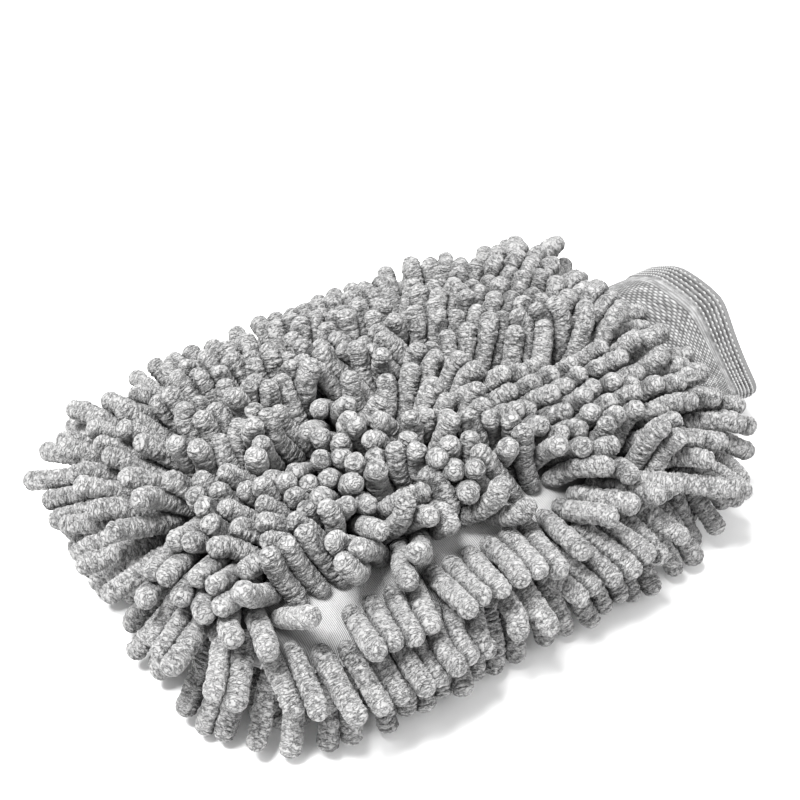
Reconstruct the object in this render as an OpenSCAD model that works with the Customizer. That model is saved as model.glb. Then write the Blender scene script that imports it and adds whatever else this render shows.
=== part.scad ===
// Double-faced chenille wash mitt with a knitted elastic cuff.
// Millimetres. The mitt lies flat: +X runs from the finger end to the cuff, +Z is up,
// and the origin is under the middle of the whole mitt, on the surface it lies on.

/* [Pocket] */
// Length of the cloth pocket
pocket_l = 184; // [176:1:200]
// Width of the cloth pocket
pocket_w = 132; // [128:1:138]
// Corner radius of the pocket in plan, and the width of its rounded rim
corner_r = 35; // [32:1:38]
// Rise of the top panel above the side seam
top_rise = 12; // [11:0.5:14]
// Depth of the bottom panel below the side seam
bottom_drop = 7; // [6.5:0.5:9]
// Thickness of the knitted ground cloth
panel_t = 1.5; // [1.2:0.1:1.8]
// Thickness of the pocket lining
lining_t = 0.6; // [0.5:0.1:0.8]

/* [Pile] */
// Length of one chenille strand
strand_l = 25; // [23:0.5:27]
// Diameter of one strand as packed in the pile
strand_d = 5.8; // [5.4:0.1:5.8]
// Spacing of the strands along a row
strand_pitch = 7.2; // [7.1:0.1:8.4]

/* [Cuff] */
// Flat width of the cuff
cuff_w = 76; // [70:1:86]
// Height of the cuff as it lies
cuff_h = 15; // [14:0.5:16]
// Thickness of the knitted sleeve
cuff_wall = 1.6; // [1.4:0.1:1.8]
// Length of the sleeve between its flex line and the welt
sleeve_l = 21; // [15:1:28]
// Length of the doubled welt at the mouth
welt_l = 11; // [11:1:14]
// Elastic yarns laid into the welt
elastic_count = 5; // [3:1:5]

/* [Hidden] */
row_count = 16;                           // straight rows of strands on each face, inside the rim row
row_names = [for (i = [1 : row_count]) str(i < 10 ? "0" : "", i)];

top_power = 2;                            // exponent of the top panel's rounded rim
bottom_power = 2.6;                       // exponent of the bottom panel's flatter rim
lining_gap = 0.2;                         // ground cloth to lining

strand_r = strand_d / 2;
strand_axis_l = strand_l - strand_d;      // between the centres of a strand's round ends
root_depth = 0.8;                         // how deep a strand is knitted into the ground cloth
rim_row = 3;                              // outline to the rim row, which follows the edge of a face
rim_row_clear = 5;                        // side of the cuff to the start of the rim row
rim_row_lean = 0.8;                       // outward lean of the rim row, as a tangent
rim_gap = 10.5;                           // outline to the end of a straight row
row_gap = (pocket_w - 2 * rim_gap) / (row_count - 1);
mouth_gap = 5;                            // mouth to the nearest strands
top_splay = 0.18;                         // outward lean added to the top strands, as a tangent
bottom_lean = 0.7;                        // sideways lean of the bottom rows
mouth_lean = 0.7;                         // lean of the top strands over the cuff
mouth_reach = 24;                         // how far back from the mouth that lean fades out

oval_power = 2.5;                         // exponent of the cuff's oval section
root_inside = 16;                         // length of sleeve let into the pocket's mouth
root_outside = 4;                         // length of that sleeve that stands out of the pocket
flex_gap = 4;                             // room for the sleeve to flex
welt_wall = 2.4;                          // thickness of the doubled welt
elastic_t = 0.8;                          // thickness of an elastic yarn
elastic_w = 1.0;                          // width of an elastic yarn
elastic_pitch = 2;                        // spacing of the elastic yarns

stitch_r = 0.4;                           // radius of the sewing thread
stitch_pitch = 6;                         // spacing of the stitches
stitch_depth = 1.1;                       // how far a stitch reaches into each piece
bore_past = 2;                            // how far a cutting solid runs past what it cuts
rings = 7;                                // rings of facets over a rim
corner_steps = 8;                         // facets round each corner

ground_grey = [0.76, 0.76, 0.77];
pile_grey = [0.62, 0.62, 0.63];
cuff_grey = [0.55, 0.56, 0.57];
welt_grey = [0.48, 0.49, 0.50];
lining_grey = [0.68, 0.69, 0.70];
thread_grey = [0.45, 0.45, 0.46];
elastic_white = [0.88, 0.88, 0.86];

// ---- Shape of the pocket: a cushion over a rounded rectangle ----
// side is 1 for the top half and -1 for the bottom half

core_x = pocket_l / 2 - corner_r;
core_y = pocket_w / 2 - corner_r;
function rise_of(side) = side > 0 ? top_rise : bottom_drop;
function power_of(side) = side > 0 ? top_power : bottom_power;

// How far a point of the plan lies outside the core rectangle, as a vector
function past_core(x, y) = [
    sign(x) * max(0, abs(x) - core_x),
    sign(y) * max(0, abs(y) - core_y)
];
// Height of a rim of the given rise at a share of the way out from its core
function rim_height(rise, power, share) = rise * pow(1 - pow(min(share, 1), power), 1 / power);
// Slope of that rim, as a tangent
function rim_slope(rise, power, share) =
    rise / corner_r * pow(share, power - 1) * pow(1 - pow(share, power), 1 / power - 1);
// Share at which that rim has come down to a height
function rim_share(rise, power, height) = pow(1 - pow(height / rise, power), 1 / power);

// ---- Shape of the cuff: an oval tube let into the pocket's mouth ----

function oval_height(y) = cuff_h / 2 * pow(1 - pow(min(abs(2 * y / cuff_w), 1), oval_power), 1 / oval_power);
function oval(w, h) = [for (a = [0 : 7.5 : 352.5]) [
    w / 2 * sign(cos(a)) * pow(abs(cos(a)), 2 / oval_power),
    h / 2 * sign(sin(a)) * pow(abs(sin(a)), 2 / oval_power)
]];
cuff_z = (top_rise - bottom_drop) / 5;    // centre of the oval above the side seam
root_end = pocket_l / 2 + root_outside;
flex_x = root_end + flex_gap / 2;
cuff_end = root_end + flex_gap + sleeve_l + welt_l;

// Where the half cushion comes down onto the oval, at a distance y from the middle
function mouth_x(side, y) =
    let (
        height = max(0, oval_height(y) + side * cuff_z),
        share = rim_share(rise_of(side), power_of(side), height),
        out_y = past_core(0, y)[1]
    )
    core_x + sqrt(max(0, pow(corner_r * share, 2) - out_y * out_y));

// ---- Strands ----

function unit(v) = v / norm(v);
function row_y(i) = (i - (row_count - 1) / 2) * row_gap;
// Distance from the middle of a row to its end at the rim
function rim_reach(y) = core_x + sqrt(max(0, pow(corner_r - rim_gap, 2) - pow(past_core(0, y)[1], 2)));
// The same at the cuff, where a row stops short of the mouth
function mouth_end(side, y) =
    abs(y) < cuff_w / 2 ? min(rim_reach(y), mouth_x(side, y) - mouth_gap) : rim_reach(y);

// Lean added to a strand, as a vector of tangents
function lean_at(side, x, y) =
    side > 0
    ? [top_splay * 2 * x / pocket_l
        + mouth_lean * max(0, 1 - (mouth_end(side, y) - x) / mouth_reach), top_splay * 2 * y / pocket_w, 0]
    : [0, bottom_lean * sign(y), 0];

// [centre of the round root end, direction] of the strand that grows at x, y
function strand_at(side, x, y, on_rim = false) =
    let (
        out = past_core(x, y),
        share = norm(out) / corner_r,
        outward = share > 0 ? out / norm(out) : [0, 0],
        slope = rim_slope(rise_of(side), power_of(side), share),
        normal = unit([outward[0] * slope, outward[1] * slope, side]),
        surface = [x, y, side * rim_height(rise_of(side), power_of(side), share)]
    )
    [surface + normal * (strand_r - root_depth),
        unit(normal + (on_rim ? [outward[0], outward[1], 0] * rim_row_lean : lean_at(side, x, y)))];

function row_strands(side, i) =
    let (
        y = row_y(i),
        low = -rim_reach(y),
        high = mouth_end(side, y),
        count = round((high - low) / strand_pitch)
    )
    [for (k = [0 : count]) strand_at(side, low + k * (high - low) / count, y)];

// The rim row runs along one side, round the finger end and back along the other side
rim_radius = corner_r - rim_row;
rim_start_angle = asin((cuff_w / 2 + rim_row_clear - core_y) / rim_radius);
rim_first_arc = rim_radius * (90 - rim_start_angle) * PI / 180;
rim_arc = rim_radius * PI / 2;
rim_half = rim_first_arc + 2 * core_x + rim_arc + core_y;
// Point of the rim row at a distance from its start, on the +Y half
function rim_point(run) =
    run < rim_first_arc
    ? let (a = rim_start_angle + run / rim_radius * 180 / PI)
        [core_x + rim_radius * cos(a), core_y + rim_radius * sin(a)]
    : run < rim_first_arc + 2 * core_x
    ? [core_x - (run - rim_first_arc), core_y + rim_radius]
    : run < rim_half - core_y
    ? let (a = 90 + (run - rim_first_arc - 2 * core_x) / rim_radius * 180 / PI)
        [-core_x + rim_radius * cos(a), core_y + rim_radius * sin(a)]
    : [-core_x - rim_radius, rim_half - run];
rim_count = round(2 * rim_half / strand_pitch);
function rim_strands(side) = [for (k = [0 : rim_count])
    let (run = 2 * rim_half * k / rim_count, p = rim_point(min(run, 2 * rim_half - run)))
    strand_at(side, p[0], run > rim_half ? -p[1] : p[1], true)];

// ---- Where the mitt lies ----

// The lowest strands of the bottom face hold the side seam this far above the surface
seam_z = max([for (i = [0 : row_count - 1]) for (s = row_strands(-1, i))
    strand_r - s[0][2] - s[1][2] * strand_axis_l]);
finger_end = min([for (side = [-1, 1]) for (s = rim_strands(side))
    s[0][0] + s[1][0] * strand_axis_l - strand_r]);
centre_x = -(finger_end + cuff_end) / 2;
echo(flex_x = flex_x + centre_x, cuff_z = cuff_z + seam_z, seam_z = seam_z, centre_x = centre_x,
    cuff_end = cuff_end + centre_x, mouth_x = mouth_x(1, 0) + centre_x);

module in_place() {
    translate([centre_x, 0, seam_z]) children();
}

// ---- Pocket ----

// A cushion half on the plane z = 0, drawn in by inset, with its wall carried down by skirt
module dome(rise, power, inset, skirt) {
    radius = corner_r - inset;
    height = rise - inset;
    sides = 4 * (corner_steps + 1);
    shares = [for (k = [0 : rings]) cos(k * 86 / rings)];
    corners = [[core_x, core_y], [-core_x, core_y], [-core_x, -core_y], [core_x, -core_y]];
    function ring_points(share, z) = [
        for (c = [0 : 3]) for (k = [0 : corner_steps])
        let (a = c * 90 + k * 90 / corner_steps)
        [corners[c][0] + radius * share * cos(a), corners[c][1] + radius * share * sin(a), z]
    ];
    levels = concat(
        skirt > 0 ? [ring_points(1, -skirt)] : [],
        [for (s = shares) ring_points(s, rim_height(height, power, s))]
    );
    last = len(levels) - 1;
    walls = [for (n = [0 : last - 1]) for (k = [0 : sides - 1])
        let (a = n * sides + k, b = n * sides + (k + 1) % sides)
        each [[a, a + sides, b], [b, a + sides, b + sides]]];
    polyhedron(
        points = [for (level = levels) each level],
        faces = concat(walls, [
            [for (k = [0 : sides - 1]) k],
            [for (k = [sides - 1 : -1 : 0]) last * sides + k]
        ])
    );
}

// The shell between two cushion halves, with the mouth cut to the oval of the cuff
module pocket_shell(side, outer_inset, thickness) {
    difference() {
        mirror([0, 0, side > 0 ? 0 : 1]) difference() {
            dome(rise_of(side), power_of(side), outer_inset, 0);
            dome(rise_of(side), power_of(side), outer_inset + thickness, bore_past);
        }
        translate([core_x, 0, cuff_z]) rotate([90, 0, 90])
            linear_extrude(pocket_l) polygon(oval(cuff_w, cuff_h));
    }
}

module top_panel() {
    color(ground_grey) in_place() pocket_shell(1, 0, panel_t);
}

module bottom_panel() {
    color(ground_grey) in_place() pocket_shell(-1, 0, panel_t);
}

module top_lining() {
    color(lining_grey) in_place() pocket_shell(1, panel_t + lining_gap, lining_t);
}

module bottom_lining() {
    color(lining_grey) in_place() pocket_shell(-1, panel_t + lining_gap, lining_t);
}

// ---- Seams ----

// One stitch: a short upright length of thread with round ends
module stitch() {
    cylinder(r = stitch_r, h = 2 * stitch_depth, center = true, $fn = 16);
    for (end = [-1, 1]) translate([0, 0, end * stitch_depth]) sphere(r = stitch_r, $fn = 16);
}

// Stitches that pass through both panels along both sides and round the finger end
module side_seam_thread() {
    radius = corner_r - panel_t / 2;
    along_x = floor(2 * core_x / stitch_pitch);
    along_y = floor(2 * core_y / stitch_pitch);
    round_count = floor(radius * PI / 2 / stitch_pitch);
    color(thread_grey) in_place() {
        for (side = [-1, 1]) for (k = [0 : along_x])
            translate([-core_x + 2 * core_x * k / along_x, side * (core_y + radius), 0]) stitch();
        for (k = [1 : along_y - 1])
            translate([-core_x - radius, -core_y + 2 * core_y * k / along_y, 0]) stitch();
        for (side = [-1, 1]) for (k = [1 : round_count])
            translate([-core_x, side * core_y, 0])
                rotate(side * (90 + 90 * k / round_count)) translate([radius, 0, 0]) stitch();
    }
}

// Stitches that join the sleeve to the edge of the pocket's mouth
module cuff_seam_thread() {
    reach = 0.8 * cuff_w / 2;
    count = floor(2 * reach / stitch_pitch);
    color(thread_grey) in_place() for (side = [-1, 1]) for (k = [0 : count]) {
        y = -reach + 2 * reach * k / count;
        translate([mouth_x(side, y) - stitch_depth, y, cuff_z + side * oval_height(y)]) stitch();
    }
}

// ---- Cuff ----

// A length of oval tube from x, whose outside stands out from the cuff's oval by swell
module oval_tube(x, length, wall, swell = 0) {
    translate([x, 0, cuff_z]) rotate([90, 0, 90]) difference() {
        linear_extrude(length) polygon(oval(cuff_w + 2 * swell, cuff_h + 2 * swell));
        translate([0, 0, -bore_past]) linear_extrude(length + 2 * bore_past)
            polygon(oval(cuff_w + 2 * (swell - wall), cuff_h + 2 * (swell - wall)));
    }
}

module cuff_root() {
    color(cuff_grey) in_place()
        oval_tube(pocket_l / 2 - root_inside, root_inside + root_outside, cuff_wall);
}

module cuff_sleeve() {
    color(cuff_grey) in_place() oval_tube(root_end + flex_gap, sleeve_l, cuff_wall);
}

welt_swell = (welt_wall - cuff_wall) / 2;
elastic_swell = welt_swell - welt_wall + elastic_t;

// Places a child where each elastic yarn starts
module at_elastics() {
    first = cuff_end - (welt_l + elastic_pitch * (elastic_count - 1) + elastic_w) / 2;
    for (k = [0 : elastic_count - 1]) translate([first + k * elastic_pitch, 0, 0]) children();
}

module cuff_welt() {
    color(welt_grey) in_place() difference() {
        oval_tube(cuff_end - welt_l, welt_l, welt_wall, welt_swell);
        at_elastics() oval_tube(0, elastic_w, elastic_t + bore_past, elastic_swell);
    }
}

module cuff_elastics() {
    color(elastic_white) in_place()
        at_elastics() oval_tube(0, elastic_w, elastic_t, elastic_swell);
}

// ---- Pile ----

// One chenille strand: a cord with round ends
module strand(root, direction) {
    tilt = acos(direction[2]);
    turn = atan2(direction[1], direction[0]);
    translate(root) rotate([0, tilt, turn]) {
        cylinder(r = strand_r, h = strand_axis_l, $fn = 24);
        sphere(r = strand_r, $fn = 24);
        translate([0, 0, strand_axis_l]) sphere(r = strand_r, $fn = 24);
    }
}

module row(side, i) {
    color(pile_grey) in_place() for (s = row_strands(side, i)) strand(s[0], s[1]);
}

module rim_row(side) {
    color(pile_grey) in_place() for (s = rim_strands(side)) strand(s[0], s[1]);
}

top_panel();
bottom_panel();
top_lining();
bottom_lining();
side_seam_thread();
cuff_seam_thread();
cuff_root();
cuff_sleeve();
cuff_welt();
cuff_elastics();
rim_row(1);  // top_rim_row
rim_row(-1);  // bottom_rim_row
for (i = [0 : row_count - 1]) {
    row(1, i);
    row(-1, i);
}
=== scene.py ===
# Looks of the chenille wash mitt: its pile, cloth, knitted cuff and seams, with a camera and studio light.
# Metres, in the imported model's frame: +X from the finger end to the cuff, +Z up, z = 0 is what it lies on.
import math

import bmesh
import bpy
import numpy as np
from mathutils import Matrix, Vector


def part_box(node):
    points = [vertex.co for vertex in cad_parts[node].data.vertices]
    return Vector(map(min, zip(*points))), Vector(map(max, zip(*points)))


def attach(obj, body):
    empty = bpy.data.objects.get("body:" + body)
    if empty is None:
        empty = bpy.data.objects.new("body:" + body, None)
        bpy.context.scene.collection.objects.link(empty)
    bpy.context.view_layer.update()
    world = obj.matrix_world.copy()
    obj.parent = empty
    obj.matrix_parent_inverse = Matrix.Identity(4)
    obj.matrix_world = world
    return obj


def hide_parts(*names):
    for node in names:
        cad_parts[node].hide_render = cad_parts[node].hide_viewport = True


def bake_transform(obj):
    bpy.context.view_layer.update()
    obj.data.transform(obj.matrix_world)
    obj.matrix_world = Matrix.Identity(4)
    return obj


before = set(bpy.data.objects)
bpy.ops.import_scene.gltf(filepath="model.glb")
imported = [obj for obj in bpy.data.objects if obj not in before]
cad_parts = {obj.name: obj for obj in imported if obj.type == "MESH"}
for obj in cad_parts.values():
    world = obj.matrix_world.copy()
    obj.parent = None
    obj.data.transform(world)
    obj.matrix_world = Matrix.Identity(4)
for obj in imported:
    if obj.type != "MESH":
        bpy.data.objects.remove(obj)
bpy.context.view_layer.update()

MM = 0.001
rng = np.random.default_rng(11)

# ---- The pocket's shape, as the CAD model has it ----

CORNER_R = 35 * MM          # corner radius in plan, and width of the rounded rim
TOP_POWER = 2.0             # exponent of the top half's rim
BOTTOM_POWER = 2.6          # exponent of the bottom half's rim
ROOT_OUTSIDE = 4 * MM       # length of the cuff's root that stands out of the pocket
PANEL_T = 1.5 * MM
LINING_GAP = 0.2 * MM
LINING_T = 0.6 * MM
OVAL_POWER = 2.5            # exponent of the cuff's oval section

top_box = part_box("top_panel")
bottom_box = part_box("bottom_panel")
root_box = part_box("cuff_root")
sleeve_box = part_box("cuff_sleeve")
welt_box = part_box("cuff_welt")

SEAM_Z = top_box[0].z
FINGER_X = top_box[0].x
RIM_X = root_box[1].x - ROOT_OUTSIDE
CENTRE_X = (FINGER_X + RIM_X) / 2
CORE_X = (RIM_X - FINGER_X) / 2 - CORNER_R
CORE_Y = top_box[1].y - CORNER_R
TOP, BOTTOM = 1, -1
RISE = {TOP: top_box[1].z - SEAM_Z, BOTTOM: SEAM_Z - bottom_box[0].z}
POWER = {TOP: TOP_POWER, BOTTOM: BOTTOM_POWER}
CUFF_W = root_box[1].y - root_box[0].y
CUFF_H = root_box[1].z - root_box[0].z
CUFF_Z = (root_box[1].z + root_box[0].z) / 2
FLEX_X = (root_box[1].x + sleeve_box[0].x) / 2
CUFF_END = welt_box[1].x


def rim_height(rise, power, share):
    """Height of a cushion half at a share of the way over its rim."""
    return rise * (1 - np.minimum(share, 1) ** power) ** (1 / power)


def past_core(x, y):
    """How far points of the plan lie outside the core rectangle, along x and y."""
    dx = x - CENTRE_X
    out_x = np.sign(dx) * np.maximum(0, np.abs(dx) - CORE_X)
    out_y = np.sign(y) * np.maximum(0, np.abs(y) - CORE_Y)
    return out_x, out_y


def cushion_z(side, x, y, inset=0.0):
    """Height above the side seam of one half of the pocket, drawn in by inset."""
    out_x, out_y = past_core(x, y)
    share = np.hypot(out_x, out_y) / (CORNER_R - inset)
    return side * rim_height(RISE[side] - inset, POWER[side], share)


def oval_height(y, inset=0.0):
    """Half height of the cuff's oval at y."""
    share = np.minimum(np.abs(2 * y / (CUFF_W - 2 * inset)), 1)
    return (CUFF_H / 2 - inset) * (1 - share**OVAL_POWER) ** (1 / OVAL_POWER)


def smooth_step(low, high, value):
    t = np.clip((value - low) / (high - low), 0, 1)
    return t * t * (3 - 2 * t)


def unit(v):
    return v / np.maximum(np.linalg.norm(v, axis=-1, keepdims=True), 1e-9)


# ---- Meshes ----


def make_mesh(name, points, quads, attributes=None, triangles=()):
    """Makes a smooth-shaded mesh object from arrays of points and faces."""
    quads = np.asarray(quads, np.int32).reshape(-1, 4)
    triangles = np.asarray(triangles, np.int32).reshape(-1, 3)
    mesh = bpy.data.meshes.new(name)
    mesh.vertices.add(len(points))
    mesh.vertices.foreach_set("co", np.asarray(points, np.float32).ravel())
    sizes = np.concatenate([np.full(len(quads), 4), np.full(len(triangles), 3)])
    mesh.loops.add(int(sizes.sum()))
    mesh.loops.foreach_set("vertex_index", np.concatenate([quads.ravel(), triangles.ravel()]))
    mesh.polygons.add(len(sizes))
    starts = np.concatenate([[0], np.cumsum(sizes)[:-1]]).astype(np.int32)
    mesh.polygons.foreach_set("loop_start", starts)
    mesh.polygons.foreach_set("use_smooth", np.ones(len(sizes), bool))
    mesh.update(calc_edges=True)
    for key, values in (attributes or {}).items():
        values = np.asarray(values, np.float32)
        kind = "FLOAT" if values.ndim == 1 else "FLOAT_VECTOR"
        field = "value" if values.ndim == 1 else "vector"
        mesh.attributes.new(key, kind, "POINT").data.foreach_set(field, values.ravel())
    mesh.validate()
    piece = bpy.data.objects.new(name, mesh)
    bpy.context.scene.collection.objects.link(piece)
    return piece


def fix_normals(piece):
    """Turns a closed mesh's faces outwards."""
    bm = bmesh.new()
    bm.from_mesh(piece.data)
    bmesh.ops.recalc_face_normals(bm, faces=bm.faces)
    bm.to_mesh(piece.data)
    bm.free()


def grid_quads(rows, columns, wrap_rows=False, wrap_columns=True):
    """Quads over a grid of points stored row by row."""
    r = np.arange(rows if wrap_rows else rows - 1)
    c = np.arange(columns if wrap_columns else columns - 1)
    r, c = np.meshgrid(r, c, indexing="ij")
    r2, c2 = (r + 1) % rows, (c + 1) % columns
    a, b = r * columns + c, r * columns + c2
    return np.stack([a, b, r2 * columns + c2, r2 * columns + c], -1).reshape(-1, 4)


def swept_tubes(centres, radius, sides):
    """Closed tubes round several lines, from centres[line, point] and radius[line, point, side].
    Returns the points of each tube and the quads and end triangles of one tube."""
    lines, count, _ = centres.shape
    tangent = unit(np.gradient(centres, axis=1))
    any_way = [0.31, 0.83, 0.46]
    first = np.cross(tangent[:, 0], any_way)
    across = np.empty_like(centres)
    across[:, 0] = unit(first)
    for k in range(1, count):
        moved = across[:, k - 1]
        along = (moved * tangent[:, k]).sum(-1, keepdims=True)
        across[:, k] = unit(moved - along * tangent[:, k])
    other = np.cross(tangent, across)
    angle = np.arange(sides) * 2 * math.pi / sides
    ring = across[:, :, None] * np.cos(angle)[:, None] + other[:, :, None] * np.sin(angle)[:, None]
    skin = (centres[:, :, None] + ring * radius[..., None]).reshape(lines, -1, 3)
    points = np.concatenate([skin, centres[:, :1], centres[:, -1:]], axis=1)
    k = np.arange(sides)
    after = (k + 1) % sides
    start, end = count * sides, count * sides + 1
    last = (count - 1) * sides
    caps = np.concatenate([
        np.stack([after, k, np.full(sides, start)], -1),
        np.stack([last + k, last + after, np.full(sides, end)], -1),
    ])
    return points, grid_quads(count, sides), caps


# ---- The strands, laid by a small simulation ----

STRAND_R = 3.25 * MM        # a strand's radius to the middle of its tufts
TOUCH_R = 3.15 * MM         # two strands press into each other down to this radius
BEADS = 8                   # points along a strand
STEPS = 170                 # steps of the simulation
GRAVITY = 0.21 * MM         # how far a free tip falls in one step
STIFFNESS = 0.18            # how much of a bend springs back in one step
MEMORY = 0.02               # how much a strand goes back to the way it grew in one step
SETTLED = 0.8               # share of the steps after which strands no longer fall
PUSHES = 2                  # times that strands push each other apart in one step
PUSH = 0.42                 # share of an overlap that one push takes away from each of two beads
LOOK_ROUND = 2.2 * MM       # how far past touching beads still count as neighbours
LOOK_EVERY = 6              # steps from one search for neighbours to the next
MOUTH_DEPTH = 14 * MM       # how far into the pocket the cuff's root still holds strands off

# ---- How the pile grows. Every lean is a tangent. ----

SPLAY_X, SPLAY_Y = 0.42, 0.68   # lean away from the middle
WANDER = 0.27               # size of each wave of the lean that wanders over the plan
SCATTER = 0.34              # each strand's own lean
OWN_BEND = 0.14             # each strand's own bend from bead to bead
PARTING_SHIFT = 2.4 * MM    # how far the roots stand back from a parting
# Where the pile parts and the cloth shows: start and end in plan and half width, in mm, and lean.
PARTINGS = [
    ((-82, -52), (12, -52), 16, 1.35),
    ((46, -12), (66, -14), 9, 0.9),
]
# Where the top's pile grows otherwise: lean along x and along y, and extra length in mm.
LOCAL_GROWTH = {
    "far_corner": (1.0, 0, 6),          # beside the cuff, where it stands up and back
    "over_cuff": (0.9, 0, 4),           # next to the cuff, where it falls over it
    "far_side": (0, 0.55, -5),          # where it lies low
    "finger_corner": (-0.15, 0.4, 3),   # where it reaches out
}


def solids_of(node):
    """The points of each separate solid in a CAD node."""
    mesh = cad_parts[node].data
    points = np.empty(len(mesh.vertices) * 3, np.float32)
    mesh.vertices.foreach_get("co", points)
    points = points.reshape(-1, 3)
    edges = np.empty(len(mesh.edges) * 2, np.int32)
    mesh.edges.foreach_get("vertices", edges)
    keys, same = np.unique(np.round(points / 1e-6).astype(np.int64), axis=0, return_inverse=True)
    a, b = same.ravel()[edges.reshape(-1, 2)].T
    label = np.arange(len(keys))
    while True:
        low = np.minimum(label[a], label[b])
        found = label.copy()
        np.minimum.at(found, a, low)
        np.minimum.at(found, b, low)
        found = found[found]
        if (found == label).all():
            break
        label = found
    welded = keys * 1e-6
    return [welded[label == k] for k in np.unique(label)]


def read_strands():
    """Base point, direction and length of every CAD strand, with its row's node and side."""
    rows = sorted(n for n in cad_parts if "_row" in n)
    found = []
    for node in rows:
        side = TOP if node.startswith("top") else BOTTOM
        for points in solids_of(node):
            middle = points.mean(0)
            axis = np.linalg.svd(points - middle, full_matrices=False)[2][0]
            axis = axis * np.sign(axis[2] * side)
            reach = (points - middle) @ axis
            found.append((node, side, middle + axis * reach.min(), axis, reach.max() - reach.min()))
    return found


def drift(x, y, waves):
    """A smooth random vector over the plan, made of a few waves."""
    total = np.zeros((len(x), 2))
    for kx, ky, phase, ax, ay in waves:
        total += np.sin(kx * x + ky * y + phase)[:, None] * np.array([ax, ay])
    return total


def random_waves(count, shortest, longest, size):
    """Waves for drift, of random lengths and ways."""
    length = rng.uniform(shortest, longest, count)
    way = rng.uniform(0, 2 * math.pi, count)
    lean = rng.uniform(0, 2 * math.pi, count)
    return np.stack([
        2 * math.pi / length * np.cos(way), 2 * math.pi / length * np.sin(way),
        rng.uniform(0, 2 * math.pi, count), size * np.cos(lean), size * np.sin(lean)
    ], -1)


def parting(base, start, end, width, strength):
    """A lean away from a line in plan, for points beside it, and how far they belong to it, from 0 to 1."""
    start, end = np.array(start) * MM, np.array(end) * MM
    way = unit(end - start)
    reach = np.linalg.norm(end - start)
    out = np.array([way[1], -way[0]])
    off = base[:, :2] - start
    along, across = off @ way, off @ out
    # It fades out a little past each of its ends.
    past, within = 5 * MM, 6 * MM
    ends = smooth_step(-past, within, along) * (1 - smooth_step(reach - within, reach + past, along))
    beside = np.exp(-((across / (width * MM)) ** 2))
    pull = strength * ends * beside * np.sign(across)
    return pull[:, None] * out, ends * beside


def parted_roots(base, side):
    """Moves the roots beside a parting away from it over the cloth, which leaves a bare strip."""
    moved = base.copy()
    for start, end, width, strength in PARTINGS:
        pull = parting(base, start, end, width, 1.0)[0]
        moved[:, :2] += PARTING_SHIFT * pull * (side == TOP)[:, None]
    drop = cushion_z(TOP, moved[:, 0], moved[:, 1]) - cushion_z(TOP, base[:, 0], base[:, 1])
    moved[:, 2] += drop * (side == TOP)
    return moved


def local_shares(base):
    """How far each strand belongs to each place of LOCAL_GROWTH, from 0 to 1."""
    x, y = base[:, 0] - CENTRE_X, base[:, 1]
    cuff_end = smooth_step(55 * MM, 85 * MM, x)
    finger_end = 1 - smooth_step(-84 * MM, -58 * MM, x)
    between_ends = smooth_step(-88 * MM, -60 * MM, x) * (1 - cuff_end)
    near = smooth_step(-60 * MM, -25 * MM, y)
    not_far = 1 - smooth_step(5 * MM, 28 * MM, y)
    return {
        "far_corner": cuff_end * smooth_step(10 * MM, 38 * MM, y),
        "over_cuff": smooth_step(45 * MM, 80 * MM, x) * near * not_far,
        "far_side": smooth_step(15 * MM, 50 * MM, y) * between_ends,
        "finger_corner": smooth_step(-30 * MM, 40 * MM, y) * finger_end,
    }


def growth_direction(base, axis, side):
    """The way each strand grows: as in CAD, with the leans of the pile added."""
    x, y = base[:, 0] - CENTRE_X, base[:, 1]
    top = side == TOP
    splay_x = SPLAY_X * np.tanh((x + 5 * MM) / (70 * MM))
    splay_y = SPLAY_Y * np.tanh((y - 10 * MM) / (45 * MM))
    shares = local_shares(base)
    lean_x, lean_y = splay_x, splay_y * (1 - 0.9 * shares["far_corner"])
    for place, share in shares.items():
        lean_x = lean_x + LOCAL_GROWTH[place][0] * share
        lean_y = lean_y + LOCAL_GROWTH[place][1] * share
    lean = np.zeros_like(base)
    lean[:, 0] = np.where(top, lean_x, 1.2 * splay_x)
    lean[:, 1] = np.where(top, lean_y, 0)
    wander = drift(x, y, random_waves(12, 20 * MM, 60 * MM, WANDER))
    lean[:, :2] += wander * np.where(top, 1, 0.45)[:, None]
    for start, end, width, strength in PARTINGS:
        pull, share = parting(base, start, end, width, strength)
        lean[top, :2] = (lean[:, :2] * (1 - 0.9 * share[:, None]) + pull)[top]
    lean += rng.normal(0, SCATTER, base.shape) * np.array([1, 1, 0.4])
    return unit(axis + lean)


def near_pairs(points, strand, reach):
    """Pairs of points on different strands that are closer than reach, found through a grid of cells."""
    cell = np.floor(points / reach).astype(np.int64)
    cell -= cell.min(0)
    size = cell.max(0) + 2
    key = (cell[:, 0] * size[1] + cell[:, 1]) * size[2] + cell[:, 2]
    order = np.argsort(key, kind="stable")
    sorted_key = key[order]
    first, second = [], []
    for dx in (0, 1):
        for dy in (-1, 0, 1):
            for dz in (-1, 0, 1):
                if (dx, dy, dz) < (0, 0, 0):
                    continue
                target = key + (dx * size[1] + dy) * size[2] + dz
                low = np.searchsorted(sorted_key, target, "left")
                many = np.searchsorted(sorted_key, target, "right") - low
                i = np.repeat(np.arange(len(points)), many)
                step = np.arange(many.sum()) - np.repeat(np.cumsum(many) - many, many)
                j = order[np.repeat(low, many) + step]
                keep = strand[i] != strand[j]
                if (dx, dy, dz) == (0, 0, 0):
                    keep &= i < j
                first.append(i[keep])
                second.append(j[keep])
    i, j = np.concatenate(first), np.concatenate(second)
    keep = np.linalg.norm(points[i] - points[j], axis=1) < reach
    return i[keep], j[keep]


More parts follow.
